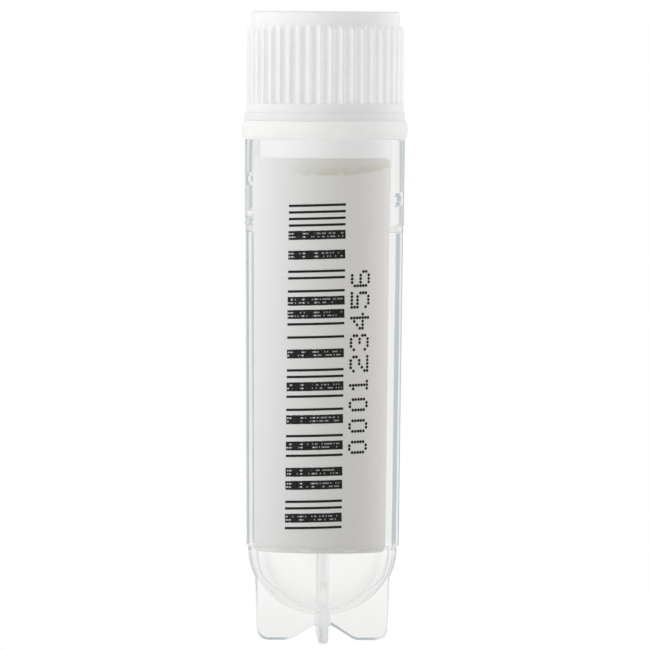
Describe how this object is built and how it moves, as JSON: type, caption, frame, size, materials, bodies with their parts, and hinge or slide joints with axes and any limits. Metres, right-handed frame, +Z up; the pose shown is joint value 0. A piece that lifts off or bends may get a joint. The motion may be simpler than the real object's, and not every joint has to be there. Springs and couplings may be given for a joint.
{
  "type": "cryovial",
  "caption": "Self-standing sample vial for cold storage: clear round-bottomed tube on a finned foot, ribbed screw cap with a threaded plug, silicone washer and printed label.",
  "frame": {"origin": "centre of the foot, on the plane that its fins stand on", "axes": "+Z up along the tube's axis, -Y towards the vial's front, where the label's print faces"},
  "size_m": [0.0126, 0.0126, 0.0478],
  "materials": {
    "clear_polypropylene": "clear, as moulded",
    "silicone": "milky, smooth",
    "natural_polypropylene": "translucent white, satin",
    "label_film": "white printed film, satin"
  },
  "bodies": {
    "vial": {"tube": "clear_polypropylene", "label": "label_film"},
    "washer": {"sealing_washer": "silicone"},
    "cap": {"screw_cap": "natural_polypropylene"}
  },
  "joints": [
    {"name": "cap_rise", "type": "slide", "parent": "vial", "child": "washer", "axis": [0, 0, 1], "range_m": [0, 0.00675]},
    {"name": "cap_twist", "type": "hinge", "parent": "washer", "child": "cap", "pos_m": [0, 0, 0.0395], "axis": [0, 0, 1], "range_deg": [0, 900]}
  ],
  "couplings": [
    {"joint": "cap_twist", "follows": "cap_rise", "rad_per_m": 2327.1}
  ]
}
